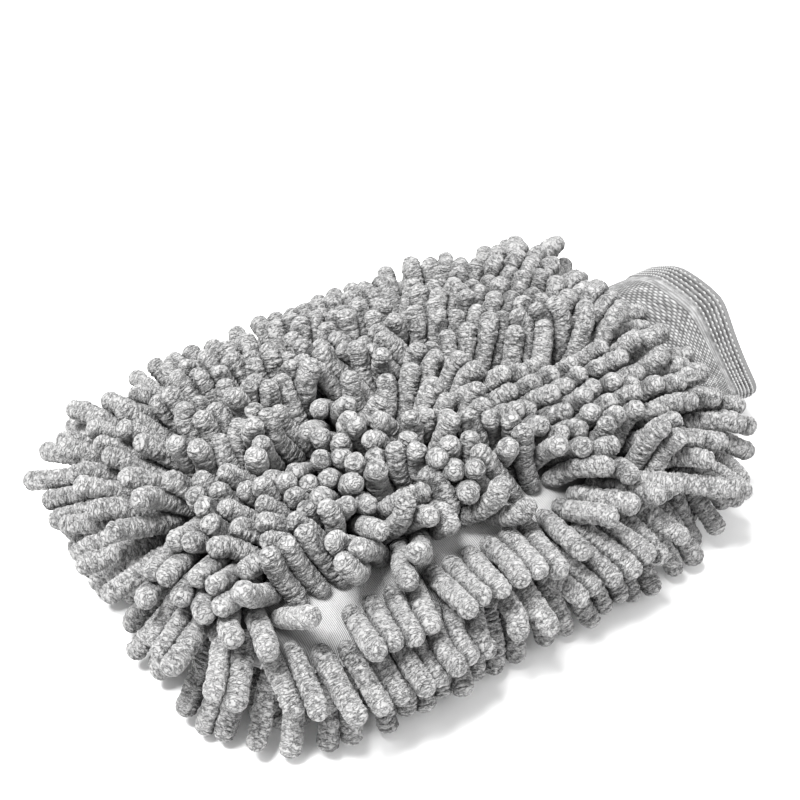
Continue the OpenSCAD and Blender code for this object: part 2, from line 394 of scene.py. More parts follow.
def push_off_pocket(points, side):
    """Moves beads that are inside the pocket to its surface."""
    x, y, z = points[:, 0], points[:, 1], points[:, 2] - SEAM_Z
    out_x, out_y = past_core(x, y)
    out = np.hypot(out_x, out_y)
    share = np.minimum(out / CORNER_R, 0.999)
    for half in (TOP, BOTTOM):
        rise, power = RISE[half], POWER[half]
        height = rim_height(rise, power, share)
        steep = np.maximum(1 - share**power, 0.02) ** (1 / power - 1)
        slope = rise / CORNER_R * share ** (power - 1) * steep
        flat = 1 / np.sqrt(1 + slope**2)
        gap = (half * z - height) * flat - TOUCH_R * 0.98
        hit = (side == half) & (gap < 0) & (out < CORNER_R)
        outward = np.stack([out_x, out_y, 0 * z], -1) / np.maximum(out, 1e-6)[:, None]
        normal = outward * (slope * flat)[:, None]
        normal[:, 2] = half * flat
        points[hit] -= normal[hit] * gap[hit, None]
    # The rim itself keeps strands of both faces off the seam.
    beyond = out >= CORNER_R
    past = np.stack([out - CORNER_R, z], -1)
    far = np.linalg.norm(past, axis=1)
    hit = beyond & (far < TOUCH_R)
    shift = (TOUCH_R - far[hit])[:, None] * past[hit] / np.maximum(far[hit], 1e-6)[:, None]
    points[hit, 0] += shift[:, 0] * out_x[hit] / out[hit]
    points[hit, 1] += shift[:, 0] * out_y[hit] / out[hit]
    points[hit, 2] += shift[:, 1]


def push_off_cuff(points, side):
    """Moves beads that are inside the cuff's oval to its surface."""
    clear = 1 * MM
    reach_y, reach_z = CUFF_W / 2 + TOUCH_R + clear, CUFF_H / 2 + TOUCH_R + clear
    y, z = points[:, 1], points[:, 2] - CUFF_Z
    inside = (np.abs(y) < reach_y) & (points[:, 0] > RIM_X - MOUTH_DEPTH)
    limit = reach_z * (1 - np.minimum(np.abs(y / reach_y), 1) ** OVAL_POWER) ** (1 / OVAL_POWER)
    above = inside & (side == TOP) & (z < limit)
    below = inside & (side == BOTTOM) & (z > -limit)
    points[above, 2] = CUFF_Z + limit[above]
    points[below, 2] = CUFF_Z - limit[below]


def push_apart(flat, i, j, fixed):
    """Moves neighbouring strands' beads apart where they touch. A fixed bead leaves the move to the other."""
    touch = 2 * TOUCH_R
    gap = flat[j] - flat[i]
    apart = np.linalg.norm(gap, axis=1)
    close = apart < touch
    a, b = i[close], j[close]
    push = gap[close] / np.maximum(apart[close], 1e-6)[:, None]
    push *= (touch - apart[close])[:, None] * PUSH
    move = np.zeros_like(flat)
    np.add.at(move, a, -push * (1 + fixed[b])[:, None])
    np.add.at(move, b, push * (1 + fixed[a])[:, None])
    hits = np.zeros(len(flat))
    np.add.at(hits, a, 1)
    np.add.at(hits, b, 1)
    flat += move / np.maximum(hits, 1)[:, None] ** 0.5


def grow(base, axis, way, gap):
    """Beads of strands that grow from their bases with a slight bend of their own."""
    count = len(base)
    bend = rng.normal(0, OWN_BEND, (count, 3)) * rng.uniform(0.3, 1.8, (count, 1))
    grown = np.empty((count, BEADS, 3))
    grown[:, 0] = base + axis * STRAND_R
    heading = way.copy()
    for k in range(1, BEADS):
        grown[:, k] = grown[:, k - 1] + heading * gap[:, None]
        heading = unit(heading + bend)
    return grown


def settle(grown, side, gap):
    """Lets strands bend, fall and rest on each other, the pocket, the cuff and the floor."""
    count = len(grown)
    beads = grown.copy()
    strand = np.repeat(np.arange(count), BEADS)
    bead_side = np.repeat(side, BEADS)
    fixed = np.tile(np.arange(BEADS) == 0, count)
    weight = (np.arange(BEADS) / (BEADS - 1))[None, :]
    for step in range(STEPS):
        if step < STEPS * SETTLED:
            beads[:, :, 2] -= GRAVITY * weight
            beads[:, 1:] += MEMORY * (grown - beads)[:, 1:]
        for k in range(2, BEADS):
            straight = 2 * beads[:, k - 1] - beads[:, k - 2]
            beads[:, k] += STIFFNESS * (straight - beads[:, k])
        flat = beads.reshape(-1, 3)
        if step % LOOK_EVERY == 0:
            i, j = near_pairs(flat, strand, 2 * TOUCH_R + LOOK_ROUND)
        for _ in range(PUSHES):
            push_apart(flat, i, j, fixed)
            push_off_pocket(flat, bead_side)
            push_off_cuff(flat, bead_side)
            flat[:, 2] = np.maximum(flat[:, 2], TOUCH_R)
            # Each bead goes back to its place along the strand, from the fixed one up.
            beads[:, 0] = grown[:, 0]
            for k in range(1, BEADS):
                step_k = unit(beads[:, k] - beads[:, k - 1])
                beads[:, k] = beads[:, k - 1] + step_k * gap[:, None]
    return beads


def lay_strands():
    """Nodes, sides, lengths and settled beads of all strands, from the CAD's own strands."""
    found = read_strands()
    nodes = np.array([f[0] for f in found])
    side = np.array([f[1] for f in found])
    base = parted_roots(np.array([f[2] for f in found]), side)
    axis = np.array([f[3] for f in found])
    length = np.array([f[4] for f in found]) + rng.normal(1.0 * MM, 1.1 * MM, len(found))
    longer = sum(LOCAL_GROWTH[place][2] * share for place, share in local_shares(base).items())
    length += MM * longer * (side == TOP)
    gap = (length - 2 * STRAND_R) / (BEADS - 1)
    grown = grow(base, axis, growth_direction(base, axis, side), gap)
    return nodes, side, length, settle(grown, side, gap)


RINGS = 84                  # rings of points along a strand
SIDES = 24                  # points round a strand
FOLD_DEPTH = 0.68 * MM      # depth of the folds between the tufts round a strand
LUMP_DEPTH = 0.34 * MM      # depth of the dents between larger lumps
GRAIN_DEPTH = 0.16 * MM     # height of the fine grain
PRESS_DEPTH = 1.5 * MM      # the most that a neighbour flattens a skin
SHADE_REACH = 1.3 * MM      # distance from a touch within which a skin lies in shade
SKIN_GAP = 0.04 * MM        # gap left on each side of two flattened skins
FLOOR_GAP = 0.05 * MM       # the pile's lowest points stay this far above the floor


def lattice_noise(points):
    """Smooth random values from 0 to 1 over space, with cells one unit wide."""
    table = rng.random((32, 32, 32)).astype(np.float32)
    floor = np.floor(points).astype(np.int32)
    t = (points - floor).astype(np.float32)
    t = t * t * (3 - 2 * t)
    low, high = floor & 31, (floor + 1) & 31
    value = 0
    for dx in (0, 1):
        wx = t[..., 0] if dx else 1 - t[..., 0]
        ix = (high if dx else low)[..., 0]
        for dy in (0, 1):
            wy = t[..., 1] if dy else 1 - t[..., 1]
            iy = (high if dy else low)[..., 1]
            for dz in (0, 1):
                wz = t[..., 2] if dz else 1 - t[..., 2]
                iz = (high if dz else low)[..., 2]
                value = value + table[ix, iy, iz] * wx * wy * wz
    return value


def puffs(points, across, along):
    """Rounded bumps with sharp creases between them, from 0 in a crease to about 1."""
    size = np.array([across, across, along])
    return np.minimum(np.abs(2 * lattice_noise(points / size) - 1) * 3.2, 1) ** 0.7


def through(beads, at):
    """Points on smooth curves through the beads, at fractions of the way along."""
    count = beads.shape[1]
    first = 2 * beads[:, :1] - beads[:, 1:2]
    last = 2 * beads[:, -1:] - beads[:, -2:-1]
    padded = np.concatenate([first, beads, last], axis=1)
    place = np.clip(at, 0, 1) * (count - 1)
    k = np.minimum(place.astype(int), count - 2)
    t = (place - k)[..., None]
    row = np.arange(len(beads))[:, None]
    p0, p1, p2, p3 = (padded[row, k + n] for n in range(4))
    curve = 0.5 * (2 * p1 + (p2 - p0) * t + (2 * p0 - 5 * p1 + 4 * p2 - p3) * t**2
                   + (3 * p1 - p0 - 3 * p2 + p3) * t**3)
    over = (np.maximum(at - 1, 0) + np.minimum(at, 0))[..., None] * (count - 1)
    end = np.where(over > 0, beads[:, -1:] - beads[:, -2:-1], beads[:, 1:2] - beads[:, :1])
    return curve + over * end


def press_together(centres, points):
    """Flattens skins where strands touch, to the plane halfway between them.
    Returns the points, and the painted shade that each one gets from how near it is to a neighbour, from 0 to
    1."""
    count = len(centres)
    rings = 3
    middle = centres[:, 1::rings].reshape(-1, 3)
    skin = points.reshape(len(middle), rings * SIDES, 3).copy()
    crowd = np.zeros(skin.shape[:2])
    strand = np.repeat(np.arange(count), RINGS // rings)
    i, j = near_pairs(middle, strand, 2 * STRAND_R + 1.4 * MM)
    own, other = np.concatenate([i, j]), np.concatenate([j, i])
    order = np.argsort(own, kind="stable")
    own, other = own[order], other[order]
    # Each turn takes one neighbour of every group of rings.
    turn = np.arange(len(own)) - np.searchsorted(own, own, "left")
    for k in range(turn.max() + 1):
        a, b = own[turn == k], other[turn == k]
        gap = middle[b] - middle[a]
        apart = np.linalg.norm(gap, axis=1)
        way = gap / apart[:, None]
        over = ((skin[a] - middle[a][:, None]) * way[:, None]).sum(-1) - apart[:, None] / 2
        crowd[a] = np.maximum(crowd[a], smooth_step(-SHADE_REACH, 0.0, over))
        skin[a] -= np.clip(over + SKIN_GAP, 0, PRESS_DEPTH)[..., None] * way[:, None]
    return skin.reshape(points.shape), crowd.reshape(count, RINGS, SIDES)


def ring_places():
    """Shares of a strand's length at which its rings lie. They crowd together over the round ends."""
    t = np.linspace(0, 1, RINGS)
    share = t - 0.035 * np.sin(2 * math.pi * t)
    share = (share - share[0]) / (share[-1] - share[0])
    return 0.004 + share * 0.992


def smooth_radius(along, length):
    """Radius of every ring before its folds: a little uneven, round at the tip and drawn in at the root."""
    count = len(length)
    plump = rng.normal(1, 0.035, (count, 1))
    uneven = 1 + 0.03 * np.sin(along / (6 * MM) + rng.uniform(0, 6, (count, 1)))
    tip = np.clip((length[:, None] - along) / (1.05 * STRAND_R), 0, 1)
    root = np.clip(along / (1.7 * STRAND_R), 0, 1)
    round_tip = (1 - (1 - tip) ** 2.2) ** 0.5
    drawn_in = 0.3 + 0.7 * (1 - (1 - root) ** 2.0) ** 0.5
    return STRAND_R * plump * uneven * round_tip * drawn_in


def skin_places(size, along):
    """Each skin point in its strand's own coordinates, moved at random so that no two strands match."""
    angle = np.arange(SIDES)[None, None] * 2 * math.pi / SIDES
    where = np.empty((*size.shape, SIDES, 3))
    where[..., 0] = size[..., None] * np.cos(angle)
    where[..., 1] = size[..., None] * np.sin(angle)
    where[..., 2] = along[..., None]
    return where + rng.uniform(0, 1, (len(size), 1, 1, 3))


def with_ends(values):
    """Values of every skin point of each strand, then of the middles of its two ends."""
    flat = values.reshape(len(values), RINGS * SIDES, -1)
    ends = values[:, [0, -1]].mean(2)
    return np.concatenate([flat, ends], axis=1)


def strand_meshes(length, beads):
    """Points of every strand's wrinkled skin, its tone with painted shade, its own coordinates, and the faces
    of one strand.
    """
    along = ring_places()[None] * length[:, None]
    core = length - 2 * STRAND_R
    centres = through(beads, (along - STRAND_R) / core[:, None])
    size = smooth_radius(along, length)
    where = skin_places(size, along)
    # Each pattern, as its height above or below the usual skin.
    folds = puffs(where, 2.6 * MM, 1.0 * MM) - 0.75
    lumps = puffs(where, 1.6 * MM, 1.3 * MM) - 0.75
    grain = lattice_noise(where / (0.8 * MM)) - 0.5
    dents = FOLD_DEPTH * folds + LUMP_DEPTH * lumps + GRAIN_DEPTH * grain
    taper = np.minimum(size / STRAND_R, 1)[..., None]
    points, quads, caps = swept_tubes(centres, size[..., None] + dents * taper, SIDES)
    skin = slice(RINGS * SIDES)
    points[:, skin], crowd = press_together(centres, points[:, skin])
    points[..., 2] = np.maximum(points[..., 2], FLOOR_GAP)
    # Painted shade: the tone is darker where the folds, lumps and grain sink in, near a strand's root deep in
    # the pile, and where strands touch.
    foot_shade = 1 - smooth_step(0.05, 0.55, along / length[:, None])[..., None]
    tone = 0.555 + 0.30 * folds + 0.14 * lumps + 0.10 * grain - 0.16 * foot_shade - 0.30 * crowd
    return points, np.clip(with_ends(tone[..., None])[..., 0], 0, 1), with_ends(where), quads, caps


def across_flex(piece):
    """Bakes a piece's placement into its mesh."""
    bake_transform(piece)


def make_pile():
    """One piece for each row of strands, and two for each rim row."""
    nodes, side, length, beads = lay_strands()
    points, tone, skin, quads, caps = strand_meshes(length, beads)
    per_strand = points.shape[1]
    shade = rng.normal(0, 1, len(nodes))
    for node in sorted(set(nodes)):
        mine = np.flatnonzero(nodes == node)
        halves = {"": mine}
        if "rim" in node:
            near = beads[mine, 0, 1] < 0
            halves = {"_near": mine[near], "_far": mine[~near]}
        for ending, chosen in halves.items():
            shift = (np.arange(len(chosen)) * per_strand)[:, None, None]
            piece = make_mesh(
                node.replace("_row", "_strands") + ending,
                points[chosen].reshape(-1, 3),
                (quads[None] + shift).reshape(-1, 4),
                {
                    "tone": tone[chosen].ravel(),
                    "strand": np.repeat(shade[chosen], per_strand),
                    "skin": skin[chosen].reshape(-1, 3),
                },
                (caps[None] + shift).reshape(-1, 3),
            )
            piece.data.materials.append(chenille)
            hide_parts(node)
            across_flex(piece)


# ---- The pocket's cloth ----


def outline(angle):
    """Point of the pocket's outline in each direction from its middle."""
    x, y = np.cos(angle), np.sin(angle)
    half_l, half_w = CORE_X + CORNER_R, CORE_Y + CORNER_R
    reach = np.minimum(half_l / np.maximum(np.abs(x), 1e-9), half_w / np.maximum(np.abs(y), 1e-9))
    # Where that meets a corner, the arc lies nearer.
    px, py = np.abs(x), np.abs(y)
    b = px * CORE_X + py * CORE_Y
    c = CORE_X**2 + CORE_Y**2 - CORNER_R**2
    arc = b + np.sqrt(np.maximum(b * b - c, 0))
    corner = (px * arc > CORE_X) & (py * arc > CORE_Y)
    return np.where(corner, arc, reach)


def cloth_half(side, inset, angles, steps):
    """A grid of points over one half of the pocket, from its middle to its rim or to the cuff's mouth."""
    reach = outline(angles)
    x, y = np.cos(angles), np.sin(angles)
    rim = 1 - inset / reach

    def height(t):
        return cushion_z(side, CENTRE_X + reach * t * x, reach * t * y, inset) * side

    # Towards the cuff the cloth ends where it has come down to the oval.
    low, high = np.full_like(reach, 0.3), rim.copy()
    for _ in range(40):
        middle = (low + high) / 2
        over = height(middle) > oval_height(reach * middle * y) + side * (CUFF_Z - SEAM_Z)
        low, high = np.where(over, middle, low), np.where(over, high, middle)
    at_cuff = (x > 0) & (np.abs(reach * rim * y) < CUFF_W / 2)
    end = np.where(at_cuff, low, rim)
    t = np.sin(np.linspace(0.02, 1, steps) * math.pi / 2)[:, None] * end[None]
    px, py = CENTRE_X + reach * t * x, reach * t * y
    pz = SEAM_Z + cushion_z(side, px, py, inset)
    return np.stack([px, py, pz], -1)


def open_share(points):
    """How far the pile is parted over points of the cloth, from 0 to 1."""
    share = np.zeros(len(points))
    for start, end, width, strength in PARTINGS:
        share = np.maximum(share, parting(points, start, end, width, strength)[1])
    return share


def make_cloth(name, side, inset, thickness, material, node):
    """A panel or a lining: two skins joined along the rim, with a middle fan on each."""
    count, steps = 360, 70
    angles = np.arange(count) * 2 * math.pi / count
    outer = cloth_half(side, inset, angles, steps)
    inner = cloth_half(side, inset + thickness, angles, steps)
    points = np.concatenate([outer.reshape(-1, 3), inner.reshape(-1, 3)])
    quads = grid_quads(steps, count)
    size = steps * count
    k = np.arange(count)
    edge = (steps - 1) * count
    after = (k + 1) % count
    rim = np.stack([edge + k, edge + after, size + edge + after, size + edge + k], -1)
    middles = np.array([outer[0].mean(0), inner[0].mean(0)])
    fan = np.stack([np.full(count, 2 * size), after, k], -1)
    fan_in = np.stack([np.full(count, 2 * size + 1), size + k, size + after], -1)
    all_quads = np.concatenate([quads, quads[:, ::-1] + size, rim[:, ::-1]])
    fans = np.concatenate([fan, fan_in])
    points = np.concatenate([points, middles])
    piece = make_mesh(name, points, all_quads, {"open": open_share(points)}, fans)
    fix_normals(piece)
    piece.data.materials.append(material)
    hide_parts(node)
    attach(piece, "pocket")
    return piece


# ---- The knitted cuff ----

WALES = 104                 # columns of loops round the cuff
COURSE = 2.0 * MM           # spacing of the elastic courses in the welt
SLEEVE_COURSE = 1.15 * MM   # spacing of the courses in the sleeve
INNER_COURSE = 1.8 * MM     # spacing of the courses inside the cuff
SLEEVE_T = 1.6 * MM
WELT_T = 2.4 * MM
BAND = 2.9 * MM             # width of the plain band beside the welt
ARCH = 5.5 * MM             # how far the upper side arches up over the hand's opening
HANG = 7.5 * MM             # how far the near side hangs down at the mouth


def cuff_section(x, turn, inset):
    """Point of the cuff's wall at x and at a share of a turn, drawn in by inset."""
    a = 2 * math.pi * turn
    half_w, half_h = CUFF_W / 2 - inset, CUFF_H / 2 - inset
    y = half_w * np.sign(np.cos(a)) * np.abs(np.cos(a)) ** (2 / OVAL_POWER)
    z = half_h * np.sign(np.sin(a)) * np.abs(np.sin(a)) ** (2 / OVAL_POWER)
    free = smooth_step(RIM_X - MOUTH_DEPTH, FLEX_X + 8 * MM, x)
    to_lip = smooth_step(FLEX_X, CUFF_END, x)
    upper = smooth_step(-0.2, 0.6, z / (CUFF_H / 2))
    # The upper side arches up, most of all next to the pocket, and the lower side rises a little.
    arch = np.exp(-(np.abs((y + 3 * MM) / (30 * MM)) ** 4))
    z = z + free * (upper * (ARCH - 0.5 * MM * to_lip) * arch + (1 - upper) * 1.5 * MM)
    # The far edge is drawn in, and the mouth is cut aslant so that its near side falls short.
    y = y - free * 0.3 * np.maximum(y - 14 * MM, 0)
    hang = to_lip * smooth_step(6 * MM, 38 * MM, -y)
    z = z - HANG * hang
    reach = x + to_lip * (1.3 + 3.4 * np.tanh((y + 13 * MM) / (10 * MM))) * MM - 3 * MM * hang
    return np.stack([reach, y, CUFF_Z + z], -1)


def cuff_profile():
    """Lengthwise places on the cuff's wall, out along its outside, round the lip and back inside it.
    Returns each place's x, how far it is drawn in, and how far it belongs to the outside."""
    start, end, welt = root_box[0].x, CUFF_END, welt_box[0].x
    outer_x = np.arange(start, end, 0.30 * MM)
    inner_x = np.arange(end, start, -0.9 * MM)
    lip = np.linspace(0, math.pi, 9)[1:-1]
    x = np.concatenate([outer_x, end + WELT_T / 2 * np.sin(lip), inner_x])
    swell = (WELT_T - SLEEVE_T) / 2
    outer_in = -smooth_step(welt - 0.8 * MM, welt + 0.3 * MM, outer_x) * swell
    lip_in = SLEEVE_T / 2 - WELT_T / 2 * np.cos(lip)
    inner_in = SLEEVE_T + smooth_step(welt - 0.8 * MM, welt + 0.3 * MM, inner_x) * swell
    outside = np.concatenate([np.ones(len(outer_x)), np.cos(lip) * 0.5 + 0.5, np.zeros(len(inner_x))])
    return x, np.concatenate([outer_in, lip_in, inner_in]), outside


def knit_pattern(x, turn, outside):
    """Height of the stitches over the cuff's wall, and their tone."""
    welt, end = welt_box[0].x, CUFF_END
    inside = 1 - outside
    in_welt = smooth_step(welt, welt + 0.5 * MM, x)
    in_sleeve = 1 - in_welt
    band = smooth_step(welt - BAND - 0.5 * MM, welt - BAND, x) * in_sleeve
    # Welt: small cells between crossing ribs. Sleeve: fine courses crossed by small loops.
    wale = 2 * math.pi * WALES * turn
    ribs, cells = np.cos(2 * math.pi * (x - end) / COURSE), np.cos(wale)
    fine = 2 * math.pi * x / SLEEVE_COURSE
    courses, loops = np.cos(fine), np.cos(wale + math.pi * np.round(fine / (2 * math.pi)))
    inner = np.cos(2 * math.pi * x / INNER_COURSE)
    welt_knit = 0.10 * MM * cells + 0.16 * MM * ribs
    sleeve_knit = (0.12 * MM * courses + 0.10 * MM * loops) * (1 - 0.6 * band)
    knit = outside * (in_welt * welt_knit + in_sleeve * sleeve_knit) + inside * 0.10 * MM * inner
    welt_tone = 0.34 + 0.06 * cells + 0.20 * ribs
    sleeve_tone = 0.50 + 0.20 * courses * (1 - 0.5 * band) + 0.20 * loops * (1 - band) + 0.10 * band
    tone = outside * (in_welt * welt_tone + in_sleeve * sleeve_tone) + inside * (0.30 + 0.12 * inner)
    # Yarn is never even: each stitch is a little higher or lower, lighter or darker.
    place = np.stack([x / SLEEVE_COURSE, turn * WALES, 0 * x], -1)
    uneven = lattice_noise(place) - 0.5 + 0.6 * (lattice_noise(place / 3.1) - 0.5)
    knit = knit + 0.10 * MM * uneven * outside
    tone = tone + 0.30 * uneven * outside
    # The mouth's edge is smoother, and of one light grey.
    edge = smooth_step(end - 1.5 * MM, end - 1.0 * MM, x) * outside
    return knit * (1 - 0.7 * edge), tone + edge * (0.52 - tone)


def make_cuff():
    """The knitted cuff as one closed wall, from its root in the pocket to the doubled welt at its mouth."""
    columns = 832
    x, inset, outside = cuff_profile()
    grid_x, grid_turn = np.meshgrid(x, np.arange(columns) / columns, indexing="ij")
    knit, tone = knit_pattern(grid_x, grid_turn, outside[:, None])
    points = cuff_section(grid_x, grid_turn, inset[:, None] - knit)
    quads = grid_quads(len(x), columns, wrap_rows=True)
    piece = make_mesh("knitted_cuff", points.reshape(-1, 3), quads, {"tone": tone.ravel()})
    fix_normals(piece)
    piece.data.materials.append(cuff_knit)
    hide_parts("cuff_root", "cuff_sleeve", "cuff_welt")
    across_flex(piece)
    return piece


def make_elastics():
    """Elastic yarns that surface as short floats between the wales of the welt."""
    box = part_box("cuff_elastics")
    rings, samples, sides = 5, 10, 8
    flat_r, thin_r = 0.42 * MM, 0.3 * MM
    turn = np.arange(WALES * samples) / (WALES * samples)
    swing = np.cos(2 * math.pi * WALES * turn + math.pi)
    inset = 0.22 * MM - 0.75 * MM * swing
    places = np.linspace(box[0].x + 0.3 * MM, box[1].x - 0.7 * MM, rings)
    centres = np.array([cuff_section(np.full_like(turn, x), turn, inset) for x in places])
    tangent = unit(np.roll(centres, -1, 1) - np.roll(centres, 1, 1))
    nearly_along = [1.0, 0.02, 0.03]
    across = unit(np.cross(tangent, nearly_along))
    other = np.cross(tangent, across)
    angle = (np.arange(sides) * 2 * math.pi / sides)[:, None]
    ring = flat_r * across[:, :, None] * np.cos(angle) + thin_r * other[:, :, None] * np.sin(angle)
    points = (centres[:, :, None] + ring).reshape(-1, 3)
    quads = grid_quads(len(turn), sides, wrap_rows=True)
    shift = (np.arange(rings) * len(turn) * sides)[:, None, None]
    piece = make_mesh("elastic_yarns", points, (quads[None] + shift).reshape(-1, 4))
    fix_normals(piece)
    piece.data.materials.append(elastic)
    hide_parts("cuff_elastics")
    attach(piece, "cuff")


# ---- Seams ----

THREAD_R = 0.28 * MM


def thread_piece(name, path, node):
    """A sewing thread swept along a path."""
    sides = 8
    points, quads, caps = swept_tubes(path[None], np.full((1, len(path), sides), THREAD_R), sides)
    piece = make_mesh(name, points[0], quads, None, caps)
    fix_normals(piece)
    piece.data.materials.append(thread)
    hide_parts(node)
    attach(piece, "pocket")


def run_along(path):
    """How far each point of a path lies along it."""
    return np.concatenate([[0], np.cumsum(np.linalg.norm(np.diff(path, axis=0), axis=1))])


def make_side_seam():
    """An overlock stitch that wraps the rim on both sides and round the finger end."""
    reach_x = RIM_X - CENTRE_X
    start = math.atan2(CUFF_W / 2 + 4 * MM, reach_x - 3 * MM)
    angle = np.linspace(start, 2 * math.pi - start, 2600)
    reach = outline(angle)
    outward = np.stack([np.cos(angle), np.sin(angle), 0 * angle], -1)
    middle = outward * reach[:, None] + np.array([CENTRE_X, 0, SEAM_Z])
    stitch = 3.2 * MM
    phase = 2 * math.pi * run_along(middle) / stitch
    path = middle - outward * (1.0 * MM - 1.3 * MM * np.cos(phase))[:, None]
    path[:, 2] += 1.9 * MM * np.sin(phase)
    thread_piece("side_seam_stitching", path, "side_seam_thread")


def make_cuff_seam():
    """An overlock stitch round the mouth, where the sleeve joins the cloth."""
    turn = np.linspace(0, 1, 1600)
    a = 2 * math.pi * turn
    y = CUFF_W / 2 * np.sign(np.cos(a)) * np.abs(np.cos(a)) ** (2 / OVAL_POWER)
    side = np.where(np.sin(a) >= 0, TOP, BOTTOM)
    height = np.maximum(oval_height(y) + side * (CUFF_Z - SEAM_Z), 0)
    x = np.empty_like(y)
    for half in (TOP, BOTTOM):
        mine = side == half
        share = (1 - np.minimum(height[mine] / RISE[half], 1) ** POWER[half]) ** (1 / POWER[half])
        out_y = past_core(CENTRE_X + 0 * y[mine], y[mine])[1]
        x[mine] = CENTRE_X + CORE_X + np.sqrt(np.maximum((CORNER_R * share) ** 2 - out_y**2, 0))
    middle = np.stack([x, y, SEAM_Z + side * height], -1)
    stitch = 3.0 * MM
    phase = 2 * math.pi * run_along(middle) / stitch
    lift = side * (0.35 * MM + 0.3 * MM * np.sin(phase))
    path = middle + np.stack([1.6 * MM * np.cos(phase), 0 * phase, lift], -1)
    thread_piece("cuff_seam_stitching", path, "cuff_seam_thread")


# ---- Materials ----


class Shader:
    """A Principled material with a few short calls for its nodes."""

    def __init__(self, name, roughness, sheen=0.0, sheen_roughness=0.5, specular=0.3):
        self.material = bpy.data.materials.new(name)
        self.material.use_nodes = True
        self.tree = self.material.node_tree
        self.tree.nodes.clear()
        self.surface = self.add("ShaderNodeBsdfPrincipled")
        out = self.add("ShaderNodeOutputMaterial")
        self.tree.links.new(self.surface.outputs[0], out.inputs["Surface"])
        self.surface.inputs["Roughness"].default_value = roughness
        self.surface.inputs["Sheen Weight"].default_value = sheen
        self.surface.inputs["Sheen Roughness"].default_value = sheen_roughness
        self.surface.inputs["Specular IOR Level"].default_value = specular

    def add(self, kind, **settings):
        node = self.tree.nodes.new(kind)
        for key, value in settings.items():
            setattr(node, key, value)
        return node

    def link(self, output, node, socket):
        self.tree.links.new(output, node.inputs[socket])

    def place(self):
        """The piece's own coordinates, in metres."""
        return self.add("ShaderNodeTexCoord").outputs["Object"]

    def attribute(self, name):
        return self.add("ShaderNodeAttribute", attribute_name=name).outputs["Fac"]

    def noise(self, size, detail=3.0, roughness=0.6):
        """Noise whose features are about size metres across."""
        node = self.add("ShaderNodeTexNoise")
        node.inputs["Scale"].default_value = 1 / size
        node.inputs["Detail"].default_value = detail
        node.inputs["Roughness"].default_value = roughness
        self.link(self.place(), node, "Vector")
        return node.outputs["Fac"]

    def noise_on(self, attribute, across, along, detail=2.0):
        """Noise over a piece's own coordinates held in an attribute, in metres."""
        at = self.add("ShaderNodeAttribute", attribute_name=attribute)
        map_to = self.add("ShaderNodeMapping")
        map_to.inputs["Scale"].default_value = (1 / across, 1 / across, 1 / along)
        self.link(at.outputs["Vector"], map_to, "Vector")
        node = self.add("ShaderNodeTexNoise")
        node.inputs["Scale"].default_value = 1.0
        node.inputs["Detail"].default_value = detail
        self.link(map_to.outputs[0], node, "Vector")
        return node.outputs["Fac"]

    def math(self, operation, a, b):
        node = self.add("ShaderNodeMath", operation=operation)
        for socket, value in enumerate((a, b)):
            if isinstance(value, (int, float)):
                node.inputs[socket].default_value = value
            else:
                self.tree.links.new(value, node.inputs[socket])
        return node.outputs[0]

    def total(self, *values):
        result = values[0]
        for value in values[1:]:
            result = self.math("ADD", result, value)
        return result

    def times(self, value, factor):
        return self.math("MULTIPLY", value, factor)

    def swing(self, value, middle, size):
        """How far a value lies above its middle, times size."""
        return self.times(self.math("SUBTRACT", value, middle), size)

    def greys(self, value, *stops):
        """Colours the surface by a ramp of linear greys: stops of a place, a grey and maybe its warmth."""
        node = self.add("ShaderNodeValToRGB")
        while len(node.color_ramp.elements) < len(stops):
            node.color_ramp.elements.new(0.5)
        for element, (at, *shade) in zip(node.color_ramp.elements, stops):
            element.position = at
            element.color = (*grey(*shade), 1)
        self.link(value, node, "Fac")
        self.link(node.outputs["Color"], self.surface, "Base Color")

    def bump(self, height, distance, strength=1.0):
        node = self.add("ShaderNodeBump")
        node.inputs["Distance"].default_value = distance
        node.inputs["Strength"].default_value = strength
        self.link(height, node, "Height")
        self.link(node.outputs[0], self.surface, "Normal")


def grey(value, warm=0.0):
    """A linear grey, a little cool or warm."""
    return (value * (1 + warm), value, value * (1 - warm))


def chenille_material():
    m = Shader("Chenille pile", roughness=0.95, sheen=0.25, sheen_roughness=0.4, specular=0.1)
    fibres = m.noise_on("skin", 0.36 * MM, 0.36 * MM)
    tufts = m.noise_on("skin", 1.7 * MM, 0.8 * MM)
    creases = m.math("ABSOLUTE", m.math("SUBTRACT", tufts, 0.5), 0)
    creases = m.math("MINIMUM", m.times(creases, 11.0), 1.0)
    # Painted shade: the colour darkens along the creases between tufts, on top of the tone's own painted
    # shade. The fibres and each strand's tint vary at random.
    value = m.total(
        m.attribute("tone"), m.swing(fibres, 0.5, 0.38), m.swing(creases, 0.75, 0.36),
        m.times(m.attribute("strand"), 0.03),
    )
    m.greys(value, (0.08, 0.04), (0.35, 0.15), (0.60, 0.29, 0.004), (0.92, 0.44, 0.006))
    m.bump(m.total(m.times(fibres, 0.7), m.times(creases, 0.8)), 0.5 * MM, 0.9)
    return m.material


def ground_material():
    m = Shader("Ground cloth", roughness=0.8, sheen=0.15, specular=0.25)
    pitch = 0.42 * MM
    twill = m.add("ShaderNodeTexWave", wave_type="BANDS", bands_direction="X")
    twill.inputs["Scale"].default_value = 1 / (pitch * 3.2)
    turn = m.add("ShaderNodeMapping")
    turn.inputs["Rotation"].default_value = (0.0, 0.35, math.radians(62))
    m.link(m.place(), turn, "Vector")
    m.link(turn.outputs[0], twill, "Vector")
    value = m.total(m.times(twill.outputs["Fac"], 0.75), m.times(m.noise(3 * MM), 0.3))
    # Painted shade: under the pile, away from the partings, the cloth is darkened.
    value = m.times(value, m.total(m.times(m.attribute("open"), 0.75), 0.25))
    m.greys(value, (0.05, 0.05), (0.45, 0.36), (0.95, 0.52))
    m.bump(value, 0.25 * MM, 0.8)
    return m.material


